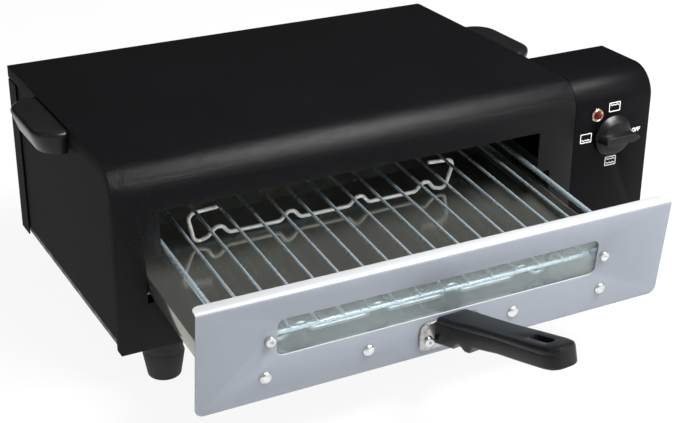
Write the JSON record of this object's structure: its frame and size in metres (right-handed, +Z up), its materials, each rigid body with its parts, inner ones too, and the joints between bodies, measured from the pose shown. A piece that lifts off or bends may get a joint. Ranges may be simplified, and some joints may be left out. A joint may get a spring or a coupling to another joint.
{
  "type": "electric tandoor",
  "caption": "Black sheet-metal grill oven with a sloping pull-out tray drawer, glazed drawer front, lift-off wire grill, side carrying handles and a control box with a selector knob.",
  "frame": {"origin": "centre of the bottom of the bounding box, on the level of the soles of the feet, with the drawer out as in the picture", "axes": "+X to the right seen from the front, +Y to the back, +Z up; the drawer comes out towards -Y"},
  "size_m": [0.4536, 0.4558, 0.1625],
  "materials": {
    "black_paint": "textured black powder coat",
    "black_plastic": "glossy black phenolic moulding",
    "rubber": "matt black rubber and lead sleeve",
    "aluminium": "satin aluminium sheet",
    "polished_steel": "bright rolled steel sheet",
    "zinc_wire": "zinc-plated wire",
    "bright_steel": "bright plated steel",
    "galvanised": "galvanised sheet",
    "element_sheath": "dark oxidised element sheath",
    "ceramic": "unglazed ceramic",
    "brass": "bright yellow-metal bezel",
    "red_lens": "clear red lamp lens",
    "glass": "clear flat glass",
    "brown_plastic": "brown phenolic switch body"
  },
  "bodies": {
    "casing": {"back_panel": "black_paint", "bottom_plate": "galvanised", "control_back": "black_paint", "control_cover": "black_paint", "cord_bush": "rubber", "drawer_runner_left": "galvanised", "drawer_runner_right": "galvanised", "foot_front_left": "rubber", "foot_front_right": "rubber", "foot_rear_left": "rubber", "foot_rear_right": "rubber", "foot_screw_front_left": "bright_steel", "foot_screw_front_right": "bright_steel", "foot_screw_rear_left": "bright_steel", "foot_screw_rear_right": "bright_steel", "front_top_sheet": "black_paint", "lamp_bezel": "brass", "lamp_body": "ceramic", "lamp_lens": "red_lens", "lead_common": "rubber", "lead_lower": "rubber", "lead_upper": "rubber", "lower_element": "element_sheath", "lower_element_block": "ceramic", "lower_strap_left": "galvanised", "lower_strap_right": "galvanised", "roof_shield": "galvanised", "selector_switch": "brown_plastic", "side_handle_left": "black_plastic", "side_handle_right": "black_plastic", "side_handle_screw_left_front": "bright_steel", "side_handle_screw_left_rear": "bright_steel", "side_handle_screw_right_front": "bright_steel", "side_handle_screw_right_rear": "bright_steel", "side_panel_left": "black_paint", "side_panel_right": "black_paint", "switch_nut": "bright_steel", "upper_element": "element_sheath", "upper_element_block": "ceramic", "upper_strap_left": "galvanised", "upper_strap_right": "galvanised"},
    "drawer": {"bracket_screw_left": "bright_steel", "bracket_screw_right": "bright_steel", "drawer_front": "aluminium", "drawer_tray": "polished_steel", "front_rivet_1": "bright_steel", "front_rivet_2": "bright_steel", "front_rivet_3": "bright_steel", "front_rivet_4": "bright_steel", "handle_bracket": "bright_steel", "pull_handle": "black_plastic", "window_glass": "glass", "window_screw_left": "bright_steel", "window_screw_right": "bright_steel"},
    "grill": {"wire_grill": "zinc_wire", "skewer_rest_front": "bright_steel", "skewer_rest_rear": "bright_steel"},
    "knob": {"selector_knob": "black_plastic", "selector_shaft": "bright_steel"}
  },
  "joints": [
    {"name": "drawer_slide", "type": "slide", "parent": "casing", "child": "drawer", "axis": [0, 0.9945, 0.1045], "range_m": [-0.06, 0.1105]},
    {"name": "grill_lift", "type": "slide", "parent": "drawer", "child": "grill", "axis": [0, -0.1045, 0.9945], "range_m": [0, 0.01]},
    {"name": "knob_turn", "type": "hinge", "parent": "casing", "child": "knob", "pos_m": [0.19175, -0.00007, 0.1159], "axis": [0, 1, 0], "range_deg": [-270, 0]}
  ]
}
